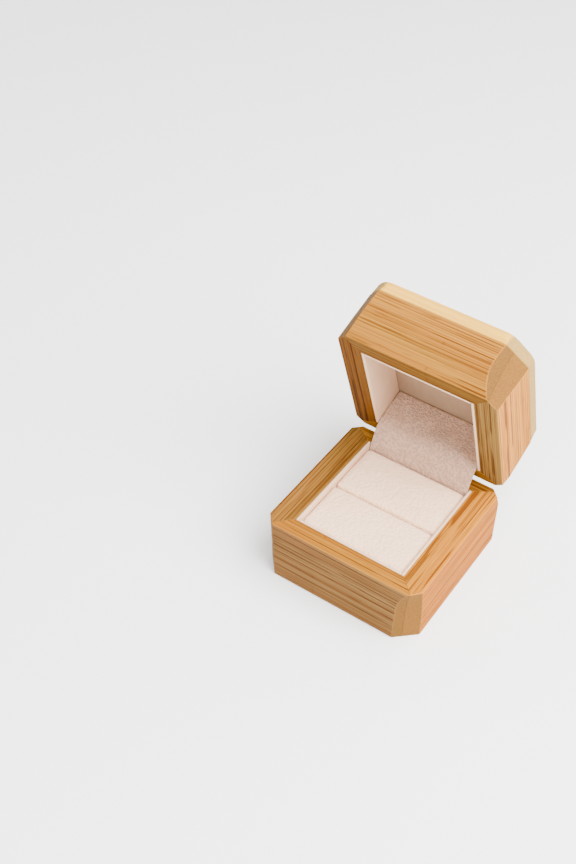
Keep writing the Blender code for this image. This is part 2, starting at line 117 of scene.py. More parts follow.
# ---- camera -------------------------------------------------------------------------------
def add_camera():
    """A camera in front, to the right and above, turned a little about its own axis."""
    azimuth = math.radians(31.927)
    elevation = math.radians(39.102)
    roll = math.radians(3.231)
    distance, aside, below = 0.4704, -0.0322, 0.0757
    back = Vector((math.sin(azimuth) * math.cos(elevation),
                   -math.cos(azimuth) * math.cos(elevation), math.sin(elevation)))
    level = Vector((math.cos(azimuth), math.sin(azimuth), 0.0))
    upright = back.cross(level)
    right = level * math.cos(roll) + upright * math.sin(roll)
    up = upright * math.cos(roll) - level * math.sin(roll)
    data = bpy.data.cameras.new("camera")
    data.lens = 56.92
    data.sensor_width = 36.0
    data.shift_x = 0.0012
    data.shift_y = -0.118
    data.clip_start = 0.01
    data.clip_end = 20.0
    camera = bpy.data.objects.new("camera", data)
    bpy.context.scene.collection.objects.link(camera)
    turn = Matrix((right, up, back)).transposed().to_4x4()
    place = right * aside + up * below + back * distance
    camera.matrix_world = Matrix.Translation(place) @ turn
    bpy.context.scene.camera = camera


# ---- shader helpers -----------------------------------------------------------------------
# The sockets of a Mix node when it mixes colours.
MIX_SHARE = 0
MIX_FIRST_COLOUR = 6
MIX_SECOND_COLOUR = 7
MIX_COLOUR_OUT = 2


class Shader:
    """A material's node tree, with short calls for the nodes used here."""

    def __init__(self, name, roughness=0.5, metallic=0.0):
        self.material = bpy.data.materials.new(name)
        self.material.use_nodes = True
        self.tree = self.material.node_tree
        self.surface = self.tree.nodes["Principled BSDF"]
        self.surface.inputs["Roughness"].default_value = roughness
        self.surface.inputs["Metallic"].default_value = metallic
        self.coords = self.tree.nodes.new("ShaderNodeTexCoord").outputs["Object"]
        self.normals = self.coords.node.outputs["Normal"]

    def set(self, socket, value):
        if isinstance(value, bpy.types.NodeSocket):
            self.tree.links.new(value, socket)
        elif isinstance(value, tuple) and socket.type == "RGBA":
            socket.default_value = (*value[:3], 1.0)
        else:
            socket.default_value = value

    def placed(self, turn=(0, 0, 0), shift=(0, 0, 0)):
        """Object coordinates in metres, turned and then shifted."""
        node = self.tree.nodes.new("ShaderNodeMapping")
        node.vector_type = "POINT"
        self.set(node.inputs["Vector"], self.coords)
        node.inputs["Rotation"].default_value = turn
        node.inputs["Location"].default_value = shift
        return node.outputs["Vector"]

    def scaled(self, vector, scale):
        node = self.tree.nodes.new("ShaderNodeVectorMath")
        node.operation = "MULTIPLY"
        self.set(node.inputs[0], vector)
        node.inputs[1].default_value = scale
        return node.outputs["Vector"]

    def noise(self, vector, scale=1.0, detail=2.0, rough=0.5, distortion=0.0):
        node = self.tree.nodes.new("ShaderNodeTexNoise")
        self.set(node.inputs["Vector"], vector)
        node.inputs["Scale"].default_value = scale
        node.inputs["Detail"].default_value = detail
        node.inputs["Roughness"].default_value = rough
        node.inputs["Distortion"].default_value = distortion
        return node.outputs["Fac"]

    def cells(self, vector, scale=1.0, smooth=0.6):
        node = self.tree.nodes.new("ShaderNodeTexVoronoi")
        node.feature = "SMOOTH_F1"
        self.set(node.inputs["Vector"], vector)
        node.inputs["Scale"].default_value = scale
        node.inputs["Smoothness"].default_value = smooth
        return node.outputs["Distance"]

    def ramp(self, value, low, high, out_low=0.0, out_high=1.0):
        node = self.tree.nodes.new("ShaderNodeMapRange")
        node.interpolation_type = "SMOOTHSTEP"
        self.set(node.inputs["Value"], value)
        node.inputs["From Min"].default_value = low
        node.inputs["From Max"].default_value = high
        node.inputs["To Min"].default_value = out_low
        node.inputs["To Max"].default_value = out_high
        return node.outputs["Result"]

    def math(self, operation, a, b=0.0):
        node = self.tree.nodes.new("ShaderNodeMath")
        node.operation = operation
        self.set(node.inputs[0], a)
        self.set(node.inputs[1], b)
        return node.outputs["Value"]

    def mix(self, share, a, b, blend="MIX"):
        node = self.tree.nodes.new("ShaderNodeMix")
        node.data_type = "RGBA"
        node.blend_type = blend
        self.set(node.inputs[MIX_SHARE], share)
        self.set(node.inputs[MIX_FIRST_COLOUR], a)
        self.set(node.inputs[MIX_SECOND_COLOUR], b)
        return node.outputs[MIX_COLOUR_OUT]

    def split(self, vector):
        node = self.tree.nodes.new("ShaderNodeSeparateXYZ")
        self.set(node.inputs["Vector"], vector)
        return node.outputs

    def bump(self, height, depth, strength):
        node = self.tree.nodes.new("ShaderNodeBump")
        node.inputs["Strength"].default_value = strength
        node.inputs["Distance"].default_value = depth
        self.set(node.inputs["Height"], height)
        return node.outputs["Normal"]

    def finish(self, colour, roughness=None, normal=None):
        self.set(self.surface.inputs["Base Color"], colour)
        if roughness is not None:
            self.set(self.surface.inputs["Roughness"], roughness)
        if normal is not None:
            self.set(self.surface.inputs["Normal"], normal)
        return self.material


# ---- materials ----------------------------------------------------------------------------
# Each tone is a set of factors for red, green and blue.
END_GRAIN_TONE = (0.41, 0.50, 1.2)
YELLOW_STRIP_TONE = (0.98, 1.16, 1.1)
DEEP_FIBRE_TONE = (0.36, 0.27, 0.30)
GROOVE_PAINTED_SHADE_TONE = (0.52, 0.62, 0.76)


def shaded(colour, factor):
    """A colour made lighter or darker by one factor, kept within white."""
    return tuple(min(1.0, c * factor) for c in colour)


def toned(colour, tone):
    return tuple(c * factor for c, factor in zip(colour, tone))


def end_tone(light, dark):
    """Sawn ends are duller and greyer than the faces."""
    return toned([(a + b) / 2 for a, b in zip(light, dark)], END_GRAIN_TONE)


def bamboo(name, along, light, dark, seed, knuckles=(), lines=0.85, rim=(1, 1, 1),
           face=(1, 1, 1)):
    """Satin bamboo: straight thin dark fibre lines, short vessel dashes and broad tone bands.

    along is the axis of the strips, seed moves the pattern, knuckles are places along the
    strips in metres, and lines is how strongly the dark lines show. rim and face are painted
    light and shade: tones that lighten or darken the rim and the outer faces for how light falls
    on them.
    """
    s = Shader(name)
    turn = (0, 0, 0) if along == "X" else (0, 0, math.radians(90))
    place = s.placed(turn, (seed * 0.171, seed * 0.093, seed * 0.057))
    bands = s.noise(s.scaled(place, (4, 330, 330)), detail=2.0, rough=0.6)
    broad = s.noise(s.scaled(place, (14, 60, 60)), detail=2.0)
    breaks = s.noise(s.scaled(place, (45, 420, 420)), detail=1.0)
    fibres = s.noise(s.scaled(place, (14, 1900, 1900)), detail=2.0, rough=0.6)
    bold_lines = s.noise(s.scaled(place, (2.5, 1150, 1150)), detail=0.0)
    thin_lines = s.noise(s.scaled(place, (5, 1900, 1900)), detail=0.0)
    vessels = s.noise(s.scaled(place, (70, 2100, 2100)), detail=1.0, rough=0.4)
    tone = s.math("ADD", s.math("MULTIPLY", s.ramp(bands, 0.34, 0.66), 0.45),
                  s.math("MULTIPLY", s.ramp(broad, 0.3, 0.7), 0.35))
    yellow = toned(light, YELLOW_STRIP_TONE)
    colour = s.mix(s.ramp(broad, 0.42, 0.62), light, yellow)
    colour = s.mix(tone, colour, dark)
    deep = toned(dark, DEEP_FIBRE_TONE)
    fine = s.ramp(fibres, 0.48, 0.60)
    colour = s.mix(s.math("MULTIPLY", fine, 0.42 * lines), colour, deep)
    bold = s.math("MULTIPLY", s.ramp(bold_lines, 0.625, 0.655), s.ramp(breaks, 0.36, 0.50))
    thin = s.math("MULTIPLY", s.ramp(thin_lines, 0.60, 0.64), s.ramp(breaks, 0.66, 0.46))
    colour = s.mix(s.math("MULTIPLY", bold, lines), colour, deep)
    colour = s.mix(s.math("MULTIPLY", thin, lines * 0.7), colour, deep)
    dash = s.ramp(vessels, 0.62, 0.70)
    colour = s.mix(s.math("MULTIPLY", dash, lines * 0.55), colour, deep)
    pale_line = s.ramp(fibres, 0.30, 0.42, 0.5, 0.0)
    colour = s.mix(pale_line, colour, shaded(yellow, 1.25))
    normals = s.split(s.normals)
    # Painted light and shade: upward faces take the rim tone, the other faces take the face
    # tone.
    on_rim = s.ramp(s.math("ABSOLUTE", normals[2]), 0.35, 0.8)
    colour = s.mix(1.0, colour, s.mix(on_rim, face, rim), "MULTIPLY")
    facing = s.math("ABSOLUTE", normals[0 if along == "X" else 1])
    end_grain = s.ramp(facing, 0.25, 0.55)
    pores = s.ramp(s.noise(place, 2300, 2.0, 0.6), 0.46, 0.62)
    cut_end = s.mix(s.math("MULTIPLY", pores, 0.45), shaded(end_tone(light, dark), 1.2),
                    shaded(end_tone(light, dark), 0.62))
    colour = s.mix(end_grain, colour, cut_end)
    height = s.math("ADD", s.math("MULTIPLY", dash, -0.6), s.math("MULTIPLY", fibres, -0.6))
    height = s.math("SUBTRACT", height, s.math("MULTIPLY", bold, 0.8))
    run = s.split(s.placed(turn))
    for position in knuckles:
        bend = s.math("MULTIPLY", s.math("SUBTRACT", broad, 0.5), 0.004)
        off = s.math("ABSOLUTE", s.math("ADD", s.math("SUBTRACT", run[0], position), bend))
        scar = s.math("MULTIPLY", s.ramp(off, 0.0002, 0.0007, 1.0, 0.0),
                      s.ramp(bands, 0.54, 0.60))
        colour = s.mix(s.math("MULTIPLY", scar, 0.3), colour, deep)
        height = s.math("SUBTRACT", height, s.math("MULTIPLY", scar, 0.6))
    roughness = s.ramp(fine, 0.0, 1.0, 0.42, 0.54)
    s.surface.inputs["Specular IOR Level"].default_value = 0.01
    return s.finish(colour, roughness, s.bump(height, 0.00007, 0.6))


def suede(name, light, dark, nap, depth, sheen, grain=0.0):
    """Short-napped cloth: soft blotches, a fine nap and a pale sheen at grazing angles.

    nap is the nap's fineness, depth its height in metres, and grain how much it is pebbled.
    """
    s = Shader(name, 0.92)
    blotch = s.noise(s.placed(), 120, 3.0, 0.6)
    fuzz = s.noise(s.placed(), nap, 2.0, 0.6)
    brushed = s.noise(s.scaled(s.placed(), (700, 180, 700)), 1.0, 2.0, 0.5)
    tone = s.math("ADD", s.math("MULTIPLY", s.ramp(blotch, 0.35, 0.68), 0.5),
                  s.math("MULTIPLY", s.ramp(brushed, 0.3, 0.7), 0.35))
    colour = s.mix(tone, light, dark)
    colour = s.mix(s.ramp(fuzz, 0.50, 0.75, 0.0, 0.22), colour, shaded(dark, 0.7))
    s.surface.inputs["Sheen Weight"].default_value = sheen
    s.surface.inputs["Sheen Roughness"].default_value = 0.45
    s.surface.inputs["Sheen Tint"].default_value = (1.0, 0.96, 0.92, 1.0)
    s.surface.inputs["Specular IOR Level"].default_value = 0.25
    pebble = s.cells(s.placed(), 1000, 0.5)
    height = s.math("ADD", s.math("MULTIPLY", fuzz, 0.8), s.math("MULTIPLY", brushed, 0.5))
    height = s.math("ADD", height, s.math("MULTIPLY", pebble, -grain))
    return s.finish(colour, s.ramp(fuzz, 0.3, 0.7, 0.86, 0.98), s.bump(height, depth, 0.5))


def leatherette(name, light, dark):
    """Matt leatherette: small soft pebbles, with the grooves between them painted darker and
    greyer as shade.
    """
    s = Shader(name, 0.7)
    slanted = s.scaled(s.placed(turn=(0, 0, 0.4)), (1.0, 1.35, 1.35))
    pebbles = s.noise(slanted, 1050, 1.0, 0.5, 0.3)
    small = s.cells(s.placed(), 2600, 0.4)
    warp = s.noise(s.placed(), 420, 2.0, 0.5, 0.4)
    blotch = s.noise(s.placed(), 150, 3.0, 0.6)
    groove = s.ramp(pebbles, 0.40, 0.58, 1.0, 0.0)
    colour = s.mix(s.ramp(blotch, 0.36, 0.66), light, dark)
    # Painted shade: the grooves between the pebbles are darker and greyer.
    colour = s.mix(s.math("MULTIPLY", groove, 0.50), colour, toned(dark, GROOVE_PAINTED_SHADE_TONE))
    height = s.math("ADD", s.ramp(pebbles, 0.35, 0.65), s.math("MULTIPLY", small, -0.25))
    height = s.math("ADD", height, s.math("MULTIPLY", warp, 0.5))
    s.surface.inputs["Sheen Weight"].default_value = 0.04
    s.surface.inputs["Sheen Roughness"].default_value = 0.5
    s.surface.inputs["Specular IOR Level"].default_value = 0.12
    return s.finish(colour, s.ramp(groove, 0.0, 1.0, 0.62, 0.82), s.bump(height, 0.00020, 1.0))


def metal(name, colour, roughness, along="X"):
    """Rolled metal: fine brushing along one axis and a few dull patches."""
    s = Shader(name, roughness, 1.0)
    stretch = (60, 2600, 2600) if along == "X" else (2600, 2600, 60)
    brush = s.noise(s.scaled(s.placed(), stretch), 1.0, 3.0, 0.6)
    patch = s.noise(s.placed(), 320, 3.0, 0.6)
    tint = s.mix(s.ramp(patch, 0.4, 0.7), colour, shaded(colour, 0.78))
    rough = s.math("ADD", s.ramp(brush, 0.3, 0.7, roughness - 0.08, roughness + 0.1),
                   s.ramp(patch, 0.45, 0.7, 0.0, 0.12))
    return s.finish(tint, rough, s.bump(brush, 0.00003, 0.4))


def board(name, light, dark):
    """Pressed grey board or open foam: flecks at two sizes."""
    s = Shader(name, 0.95)
    fleck = s.noise(s.placed(), 1600, 4.0, 0.7)
    cloud = s.noise(s.placed(), 200, 2.0, 0.5)
    colour = s.mix(s.ramp(fleck, 0.35, 0.65), light, dark)
    colour = s.mix(s.ramp(cloud, 0.4, 0.7, 0.0, 0.3), colour, dark)
    return s.finish(colour, None, s.bump(fleck, 0.00012, 0.6))


def studio_floor():
    s = Shader("studio_floor", 0.9)
    cloud = s.noise(s.placed(), 6, 2.0, 0.5)
    s.surface.inputs["Specular IOR Level"].default_value = 0.1
    return s.finish(s.mix(cloud, (0.93, 0.93, 0.93), (0.95, 0.95, 0.95)))


# ---- mesh helpers -------------------------------------------------------------------------
def add_piece(name, bm, material, body, nodes, smooth_angle):
    """Turn a bmesh in millimetres into a piece of the box that rides on a body, if one is given.

    A lid piece is drawn shut and then swung open. Edges sharper than smooth_angle stay crisp.
    """
    bmesh.ops.recalc_face_normals(bm, faces=bm.faces)
    bmesh.ops.scale(bm, vec=(MM, MM, MM), verts=bm.verts)
    mesh = bpy.data.meshes.new(name)
    bm.to_mesh(mesh)
    bm.free()
    mesh.materials.append(material)
    mesh.shade_smooth()
    mesh.set_sharp_from_angle(angle=math.radians(smooth_angle))
    obj = bpy.data.objects.new(name, mesh)
    bpy.context.scene.collection.objects.link(obj)
    if body == "lid":
        obj.matrix_world = OPENED
    if body:
        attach(obj, body)
    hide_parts(*nodes)
    return obj


def bevel(obj, width, segments, angle=None):
    """Round the edges sharper than an angle or, with no angle given, by their bevel weights."""
    modifier = obj.modifiers.new("rounded edges", "BEVEL")
    modifier.width = width * MM
    modifier.segments = segments
    if angle is None:
        modifier.limit_method = "WEIGHT"
    else:
        modifier.limit_method = "ANGLE"
        modifier.angle_limit = math.radians(angle)
    return modifier


def slab(low, high, cuts=(1, 1, 1)):
    """A box as a bmesh, its faces cut into a grid."""
    bm = bmesh.new()
    bmesh.ops.create_cube(bm, size=1.0)
    size = Vector(high) - Vector(low)
    bmesh.ops.scale(bm, vec=size, verts=bm.verts)
    bmesh.ops.translate(bm, vec=(Vector(low) + Vector(high)) / 2, verts=bm.verts)
    for axis, count in enumerate(cuts):
        for step in range(1, count):
            at = low[axis] + size[axis] * step / count
            point = Vector([at if i == axis else 0.0 for i in range(3)])
            normal = Vector([1.0 if i == axis else 0.0 for i in range(3)])
            geometry = bm.verts[:] + bm.edges[:] + bm.faces[:]
            bmesh.ops.bisect_plane(bm, geom=geometry, dist=1e-5, plane_co=point,
                                   plane_no=normal)
    return bm


def loft(bm, rings):
    """Close a stack of equal rings of vertices with side faces and two end faces."""
    bm.faces.new(rings[0])
    bm.faces.new(rings[-1])
    for lower, upper in zip(rings, rings[1:]):
        for i in range(len(lower)):
            j = (i + 1) % len(lower)
            bm.faces.new((lower[i], lower[j], upper[j], upper[i]))


def apply_modifiers(obj):
    """Freeze an object's modifiers into its mesh."""
    graph = bpy.context.evaluated_depsgraph_get()
    mesh = bpy.data.meshes.new_from_object(obj.evaluated_get(graph))
    obj.modifiers.clear()
    obj.data = mesh


# ---- wooden rails -------------------------------------------------------------------------
def facet_cuts(table, height):
    """The two cuts of a facet table at a height, in straight lines between its rows."""
    row = 1
    while row < len(table) - 1 and height > table[row][0]:
        row += 1
    low, high = table[row - 1], table[row]
    share = min(1.0, (height - low[0]) / (high[0] - low[0]))
    return [a + (b - a) * share for a, b in zip(low[1:], high[1:])]


def corner_points(half, height, side, rear):
    """Plan points where a corner's facet meets the front or rear face, and the side."""
    across, along = facet_cuts(REAR_FACET if rear else FRONT_FACETS[half, side], height)
    planed = max(0.0, 1.0 - height / REAR_BEVEL_HEIGHT) if rear else 0.0
    face_y = HALF_D - REAR_BEVEL_DEPTH * planed if rear else -HALF_D
    inward = -1.0 if rear else 1.0
    on_face = Vector((side * (HALF_W - across), face_y))
    on_side = Vector((side * HALF_W, face_y + inward * along))
    return on_face, on_side


def crossing(point_a, along_a, point_b, along_b):
    """Where two straight lines in plan meet."""
    across = along_a.x * along_b.y - along_a.y * along_b.x
    gap = point_b - point_a
    share = (gap.x * along_b.y - gap.y * along_b.x) / across
    return point_a + along_a * share


def mitre_line(side, rear, towards_side):
    """A point on the cut face of a mitre, and the way the mitre runs outwards."""
    inner = Vector((side * INNER_X, INNER_REAR if rear else INNER_FRONT))
    if rear:
        outer = Vector((side * (HALF_W - REAR_FACET[0][1] + REAR_MITRE_SHIFT),
                        HALF_D - REAR_BEVEL_DEPTH - REAR_MITRE_SHIFT))
    else:
        outer = Vector((side * (HALF_W - FRONT_MITRE_INSET), -HALF_D))
    along = (outer - inner).normalized()
    normal = Vector((along.y, -along.x))
    if normal.x * side < 0:
        normal = -normal
    return inner + normal * (GLUE_GAP / 2 if towards_side else -GLUE_GAP / 2), along


def rail_section(half, rail, height):
    """Plan outline of one rail: inner edge first, then its mitres, facets and outer face."""
    straight = rail in ("front", "rear")
    rail_side = 1 if rail == "right" else -1
    ends = []
    pairs = [(-1, rail == "rear"), (1, rail == "rear")]
    if not straight:
        pairs = [(rail_side, False), (rail_side, True)]
    for side, rear in pairs:
        start, along = mitre_line(side, rear, not straight)
        on_face, on_side = corner_points(half, height, side, rear)
        if straight:
            wall = Vector((0, INNER_REAR if rear else INNER_FRONT))
            inner = crossing(start, along, wall, Vector((1, 0)))
        else:
            inner = crossing(start, along, Vector((side * INNER_X, 0)), Vector((0, 1)))
        seam = crossing(start, along, on_face, on_side - on_face)
        ends.append([inner, seam, on_face if straight else on_side])
    first, last = ends
    return [first[0], last[0], last[1], last[2], first[2], first[1]]


# Distances from the rim, in millimetres, at which a rail's outline is drawn before its far end.
RAIL_LEVELS = [0.0, 1.2, 2.5, 3.9, REAR_BEVEL_HEIGHT, 6.5, 9.2, 12.0, 15.0, 17.6]
RAIL_ROUNDING = 0.36

# A rail's outline has six points: inner start (0), inner end (1), the far mitre's outer end (2),
# the two corners of the outer face (3 and 4) and the near mitre's outer end (5).
# OUTLINE_EDGES gives (point an edge starts from, its share of the rounding).
OUTLINE_EDGES = ((0, 0.5), (2, 1.0), (3, 1.0), (4, 1.0), (1, 0.12), (5, 0.12))
FACET_POINTS = (3, 4)
MITRE_POINTS = (2, 5)
OUTER_EDGES = (2, 3, 4)
FACET_ROUNDING_SHARE = 0.7
MITRE_ROUNDING_SHARE = 0.12
LID_JOINT_SHARE = 0.35
BASE_FOOT_SHARE = 0.8


def add_rail(half, rail, material, highlight_edge_material, node):
    """One mitred rail, lofted through many levels so that its facets run in soft curves."""
    lid = half == "lid"
    rim_z = LID_RIM_Z if lid else BASE_HEIGHT
    height = LID_HEIGHT - TOP_PANEL - GLUE_GAP if lid else BASE_HEIGHT
    up = 1.0 if lid else -1.0
    levels = RAIL_LEVELS + [height]
    bm = bmesh.new()
    weight = bm.edges.layers.float.new("bevel_weight_edge")
    rings = []
    for level in levels:
        section = rail_section(half, rail, level)
        rings.append([bm.verts.new((p.x, p.y, rim_z + up * level)) for p in section])
    loft(bm, rings)
    far_share = LID_JOINT_SHARE if lid else BASE_FOOT_SHARE
    for ring, strength in ((rings[0], 1.0), (rings[-1], far_share)):
        for i, share in OUTLINE_EDGES:
            bm.edges.get((ring[i], ring[(i + 1) % len(ring)]))[weight] = strength * share
    for lower, upper in zip(rings, rings[1:]):
        for i in FACET_POINTS:
            bm.edges.get((lower[i], upper[i]))[weight] = FACET_ROUNDING_SHARE
        for i in MITRE_POINTS:
            bm.edges.get((lower[i], upper[i]))[weight] = MITRE_ROUNDING_SHARE
    if rail == "rear":
        step = rings[levels.index(REAR_BEVEL_HEIGHT)]
        for i in OUTER_EDGES:
            bm.edges.get((step[i], step[(i + 1) % len(step)]))[weight] = 1.0
    obj = add_piece(f"{half}_wood_{rail}", bm, material, half, [node], 24)
    obj.data.materials.append(highlight_edge_material)
    # The rounded edges take the lighter copy: partly sanded wear, partly a painted highlight.
    bevel(obj, RAIL_ROUNDING, 4).material = obj.data.materials.find(highlight_edge_material.name)
    return obj


def cut_hinge_pocket(rail, half):
    """The pocket for a hinge leaf in a rear rail, cut with two boxes."""
    up = 1.0 if half == "lid" else -1.0
    outside = AXIS_Z - up
    for depth_y, drop, grow in ((HINGE_POCKET_DEPTH, HINGE_POCKET_DROP, 0.0),
                                (REAR_RAIL + 1.0, KNUCKLE_NOTCH_DROP, KNUCKLE_NOTCH_GROW)):
        low_z, high_z = sorted((outside, AXIS_Z + up * drop))
        bm = slab((-HINGE_POCKET_HALF - grow, INNER_REAR - 1.0 - grow, low_z),
                  (HINGE_POCKET_HALF + grow, INNER_REAR + depth_y, high_z))
        bmesh.ops.recalc_face_normals(bm, faces=bm.faces)
        bmesh.ops.scale(bm, vec=(MM, MM, MM), verts=bm.verts)
        mesh = bpy.data.meshes.new("pocket")
        bm.to_mesh(mesh)
        bm.free()
        cutter = bpy.data.objects.new("pocket", mesh)
        bpy.context.scene.collection.objects.link(cutter)
        cutter.matrix_world = rail.matrix_world.copy()
        bpy.context.view_layer.update()
        cut = rail.modifiers.new("pocket", "BOOLEAN")
        cut.operation = "DIFFERENCE"
        cut.solver = "EXACT"
        cut.object = cutter
        apply_modifiers(rail)
        bpy.data.objects.remove(cutter, do_unlink=True)


PANEL_CORNER_STEPS = 6
PANEL_LEVELS = 4
PANEL_LOW_REACH = 1.0
PANEL_REACH_GAIN = 1.9
PANEL_ROUNDING = 0.5


def panel_outline(height, reach):
    """The lid's plan outline at a height above its rim, each corner rounded by a curve."""
    corners = []
    for side, rear in ((-1, False), (1, False), (1, True), (-1, True)):
        on_face, on_side = corner_points("lid", height, side, rear)
        corners.extend([on_side, on_face] if (side < 0) != rear else [on_face, on_side])
    outline = []
    for i, corner in enumerate(corners):
        before = (corners[i - 1] - corner).normalized() * reach
        after = (corners[(i + 1) % len(corners)] - corner).normalized() * reach
        for step in range(PANEL_CORNER_STEPS + 1):
            share = step / PANEL_CORNER_STEPS
            outline.append(corner + before * (1 - share) ** 2 + after * share ** 2)
    return outline


def add_top_panel(material):
    """The lid's top board: its corners grow rounder upwards, and its upper edge is eased."""
    bm = bmesh.new()
    rings = []
    for level in range(PANEL_LEVELS + 1):
        share = level / PANEL_LEVELS
        height = LID_HEIGHT - TOP_PANEL * (1 - share)
        reach = PANEL_LOW_REACH + PANEL_REACH_GAIN * math.sin(share * math.pi / 2)
        outline = panel_outline(height, reach)
        rings.append([bm.verts.new((p.x, p.y, LID_RIM_Z + height)) for p in outline])
    loft(bm, rings)
    obj = add_piece("lid_wood_top", bm, material, "lid",
                    ["lid_top_panel"], 30)
    bevel(obj, PANEL_ROUNDING, 4, angle=60)


LIGHT_WOOD, DARK_WOOD = (0.365, 0.150, 0.0165), (0.255, 0.088, 0.0075)
WARM_WOOD, WARM_DARK_WOOD = (0.42, 0.166, 0.0165), (0.32, 0.105, 0.0085)
PALE_WOOD, PALE_DARK_WOOD = (0.75, 0.40, 0.055), (0.66, 0.32, 0.036)
# Painted light and shade: the unlit left and rear faces get a paler, greyer tone as painted
# glare, and the rear rims are painted darker as shade.
UNLIT_SIDE_PAINTED_GLARE = (1.0, 1.12, 2.0)
REAR_RIM_PAINTED_SHADE = (0.8, 0.8, 0.8)

# along: the axis of the strips; knuckle: its place along them in metres; rim and face: painted
# light and shade, tones that lighten or darken each rail's rim and outer faces for how light
# falls on them with the lid open.
RailLook = namedtuple("RailLook", "along light dark seed knuckle rim face")
RAIL_LOOKS = {
    ("base", "front"): RailLook("X", LIGHT_WOOD, DARK_WOOD, 1, -0.0085, (0.86, 0.80, 0.72),
                                (0.55, 0.65, 2.1)),
    ("base", "rear"): RailLook("X", LIGHT_WOOD, DARK_WOOD, 2, 0.006, REAR_RIM_PAINTED_SHADE, UNLIT_SIDE_PAINTED_GLARE),
    ("base", "left"): RailLook("Y", LIGHT_WOOD, DARK_WOOD, 3, 0.012, (0.70, 0.76, 1.4),
                               UNLIT_SIDE_PAINTED_GLARE),
    ("base", "right"): RailLook("Y", WARM_WOOD, WARM_DARK_WOOD, 4, -0.004, (1.05, 1.0, 0.8),
                                (0.92, 0.76, 0.30)),
    ("lid", "front"): RailLook("X", LIGHT_WOOD, DARK_WOOD, 5, 0.0035, (0.46, 0.52, 0.9),
                               (0.87, 0.88, 1.1)),
    ("lid", "rear"): RailLook("X", LIGHT_WOOD, DARK_WOOD, 6, -0.010, REAR_RIM_PAINTED_SHADE, UNLIT_SIDE_PAINTED_GLARE),
    ("lid", "left"): RailLook("Y", LIGHT_WOOD, DARK_WOOD, 7, -0.011, (0.40, 0.35, 0.45),
                              UNLIT_SIDE_PAINTED_GLARE),
    ("lid", "right"): RailLook("Y", WARM_WOOD, WARM_DARK_WOOD, 8, 0.009, (0.54, 0.76, 2.0),
                               (1.10, 1.12, 1.2)),
}


def build_wood():
    for (half, rail), look in RAIL_LOOKS.items():
        name = f"bamboo_{half}_{rail}"
        material = bamboo(name, look.along, look.light, look.dark, look.seed, (look.knuckle,),
                          rim=look.rim, face=look.face)
        # A lighter copy of the bamboo for the rounded edges: partly sanded wear, partly a
        # painted highlight.
        edge = bamboo(f"{name}_edge", look.along, shaded(look.light, 1.12),
                      shaded(look.dark, 1.25), look.seed, (), 0.3, look.rim, look.face)
        obj = add_rail(half, rail, material, edge, f"{half}_rail_{rail}")
        if rail == "rear":
            cut_hinge_pocket(obj, half)
    add_top_panel(bamboo("bamboo_top", "X", PALE_WOOD, PALE_DARK_WOOD, 9, (), 0.35))
    bottom_board = bamboo("bamboo_bottom", "X", WARM_WOOD, WARM_DARK_WOOD, 10, (0.010,), 0.4)
    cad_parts["base_bottom_panel"].material_slots[0].material = bottom_board


# ---- linings ------------------------------------------------------------------------------
LINING_GRID = [8, 8, 6]
LINING_SWELL = 0.12
LINING_ROUNDING = 0.34
CEILING_GRID = (10, 10, 1)
CEILING_DOME = 0.15
CEILING_ROUNDING = 0.4


def add_lining(half, word, material):
    """Covered card on one wall: rounded edges and a face that is very slightly padded."""
    low, high = lining_box(half, word)
    thin = 0 if word in ("left", "right") else 1
    cuts = list(LINING_GRID)
    cuts[thin] = 1
    bm = slab(low, high, cuts)
    centre = [(a + b) / 2 for a, b in zip(low, high)]
    span = [b - a for a, b in zip(low, high)]
    inward = -1 if centre[thin] > 0 else 1
    for vert in bm.verts:
        across = [2 * (vert.co[i] - centre[i]) / span[i] for i in range(3)]
        swell = 1.0
        for i in range(3):
            if i != thin:
                swell *= 1.0 - across[i] ** 4
        if across[thin] * inward > 0:
            vert.co[thin] += LINING_SWELL * swell * inward
    obj = add_piece(f"{half}_cover_{word}", bm, material, half,
                    [f"{half}_lining_{word}"], 50)
    bevel(obj, LINING_ROUNDING, 4, angle=50)


def lining_box(half, word):
    """The lowest and highest corner of a lining card."""
    near, far = INNER_FRONT + LINING_GAP, INNER_REAR - LINING_GAP
    outer = INNER_X - LINING_GAP
    low_z, high_z = BASE_LINING_LOW, BASE_HEIGHT
    if half == "lid":
        low_z, high_z = LID_RIM_Z, CEILING_Z - LINING_GAP
    if word == "front":
        span = outer - LINING - LINING_GAP
        return (-span, near, low_z), (span, near + LINING, high_z)
    side = -1 if word == "left" else 1
    first, second = sorted((side * outer, side * (outer - LINING)))
    return (first, near, low_z), (second, far, high_z)


def add_ceiling(material):
    """The covered card that closes the lid's pocket, a little domed."""
    low = (-INNER_X + LINING_GAP, INNER_FRONT + LINING_GAP, CEILING_Z)
    high = (INNER_X - LINING_GAP, INNER_REAR - LINING_GAP, CEILING_Z + CEILING_CARD)
    bm = slab(low, high, CEILING_GRID)
    for vert in bm.verts:
        if vert.co.z < CEILING_Z + CEILING_CARD / 2:
            u = vert.co.x / high[0]
            v = (vert.co.y - (low[1] + high[1]) / 2) / ((high[1] - low[1]) / 2)
            vert.co.z -= CEILING_DOME * (1 - u ** 4) * (1 - v ** 4)
    obj = add_piece("lid_cover_ceiling", bm, material, "lid",
                    ["lid_ceiling_card"], 50)
    bevel(obj, CEILING_ROUNDING, 3, angle=50)


# ---- ring cushion -------------------------------------------------------------------------
CUSHION_GRID = (22, 14, 8)
CUSHION_ROUNDING = (0.8, 0.8, 0.9)
ROUND_EDGE_POWER = 2.0
SQUARE_EDGE_POWER = 6.0
CUSHION_CROWN = 0.30
CUSHION_WAVE = 0.06
SLIT_DIP = 0.10
TOP_SETTLING = 0.28


